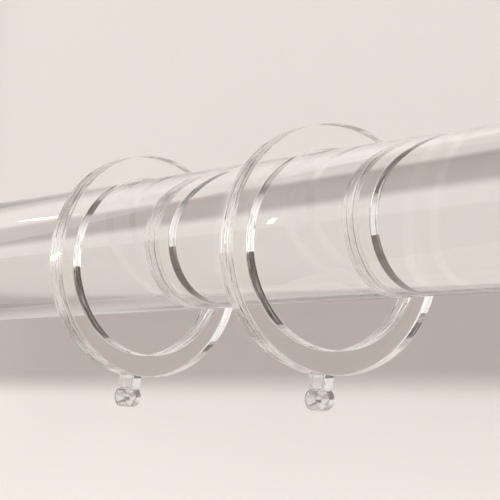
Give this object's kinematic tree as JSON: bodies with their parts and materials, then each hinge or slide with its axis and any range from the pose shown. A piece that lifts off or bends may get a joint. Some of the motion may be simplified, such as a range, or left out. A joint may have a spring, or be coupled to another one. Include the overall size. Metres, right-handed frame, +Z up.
{
  "type": "clear curtain pole with rings",
  "caption": "Round clear acrylic curtain pole held wall to wall in polished end sockets, with loose flat clear rings that slide and turn, each with a small eyelet.",
  "frame": {"origin": "centre of the left wall plate's back face, on the pole's axis", "axes": "+X along the pole from the left wall to the right wall, +Z up, -Y towards the viewer"},
  "size_m": [0.5086, 0.0638, 0.0768],
  "materials": {
    "clear_acrylic_pole": "clear, colourless, polished cast acrylic, very faint drawing lines along its length",
    "clear_acrylic_ring": "clear, colourless cast acrylic, flat faces polished, rim and bore finely machined and flame polished",
    "clear_moulded_eyelet": "clear moulded acrylic, glossy",
    "polished_nickel": "polished nickel plate on turned brass",
    "zinc_plated_steel": "zinc-plated, turned steel",
    "white_nylon": "matt moulded nylon"
  },
  "bodies": {
    "fixed_pole": {"pole": "clear_acrylic_pole", "left_wall_plate": "zinc_plated_steel", "left_wall_screw_1": "zinc_plated_steel", "left_wall_screw_2": "zinc_plated_steel", "left_wall_screw_3": "zinc_plated_steel", "left_socket_cup": "polished_nickel", "left_end_liner": "white_nylon", "left_cup_lock_screw": "zinc_plated_steel", "left_pole_lock_screw": "zinc_plated_steel", "right_wall_plate": "zinc_plated_steel", "right_wall_screw_1": "zinc_plated_steel", "right_wall_screw_2": "zinc_plated_steel", "right_wall_screw_3": "zinc_plated_steel", "right_socket_cup": "polished_nickel", "right_end_liner": "white_nylon", "right_cup_lock_screw": "zinc_plated_steel", "right_pole_lock_screw": "zinc_plated_steel"},
    "left_ring": {"ring_left": "clear_acrylic_ring"},
    "left_ring_eyelet": {"ring_left_eyelet": "clear_moulded_eyelet"},
    "right_ring": {"ring_right": "clear_acrylic_ring"},
    "right_ring_eyelet": {"ring_right_eyelet": "clear_moulded_eyelet"}
  },
  "joints": [
    {"name": "left_ring_slide", "type": "slide", "parent": "fixed_pole", "child": "left_ring", "axis": [1, 0, 0], "range_m": [-0.15475, 0.03625]},
    {"name": "left_ring_turn", "type": "hinge", "parent": "left_ring", "child": "left_ring_eyelet", "pos_m": [0.18675, 0, -0.00605], "axis": [0.9969, 0.0785, 0], "continuous": true},
    {"name": "right_ring_slide", "type": "slide", "parent": "fixed_pole", "child": "right_ring", "axis": [1, 0, 0], "range_m": [-0.03625, 0.15475]},
    {"name": "right_ring_turn", "type": "hinge", "parent": "right_ring", "child": "right_ring_eyelet", "pos_m": [0.27325, 0, -0.00605], "axis": [0.9986, -0.0523, 0], "continuous": true}
  ]
}
